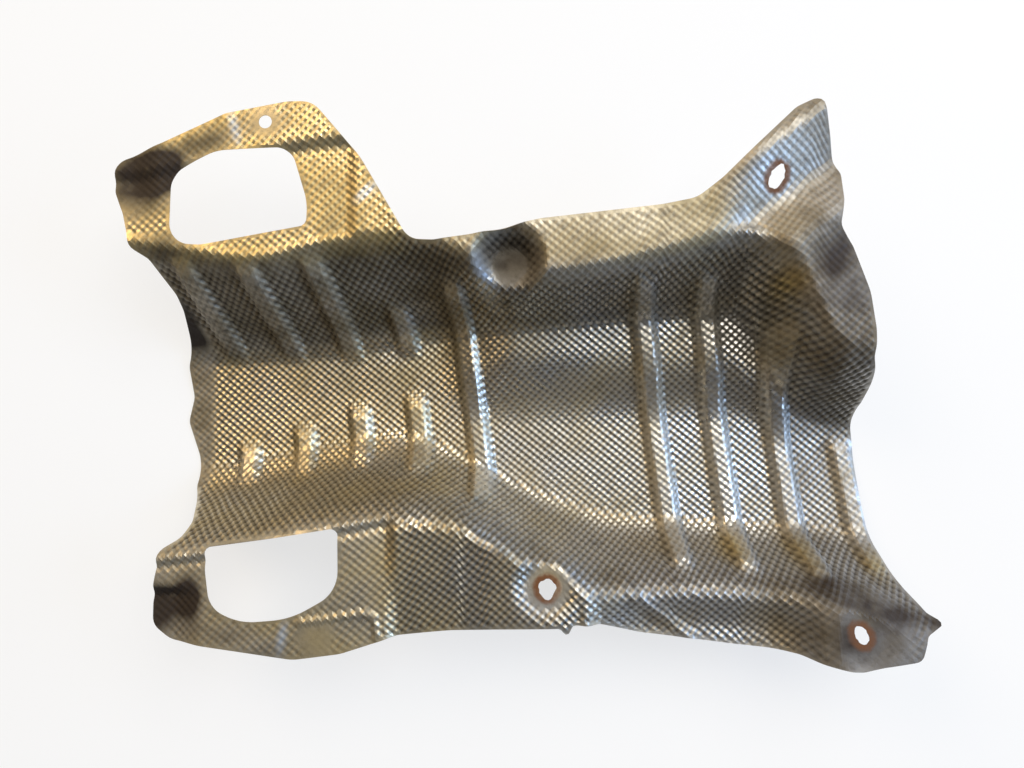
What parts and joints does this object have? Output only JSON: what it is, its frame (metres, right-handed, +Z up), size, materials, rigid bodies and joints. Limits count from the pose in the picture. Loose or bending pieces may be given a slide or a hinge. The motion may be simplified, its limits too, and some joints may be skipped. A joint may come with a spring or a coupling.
{
  "type": "exhaust heat shield",
  "caption": "Pressed sheet-metal heat shield: a wide ribbed trough with flat flanges, two windowed wings and pierced fixing seats, lying open side up.",
  "frame": {"origin": "centre of the bounding box in plan, on the plane that the floor of the trough rests on", "axes": "+X along the trough towards the flared ear end, +Y across it towards the bolt hole, +Z up out of the open side"},
  "size_m": [0.518, 0.352, 0.0978],
  "materials": {
    "embossed_aluminium": "embossed, dulled and stained gold by heat"
  },
  "bodies": {
    "root": {"heat_shield": "embossed_aluminium"}
  },
  "joints": []
}
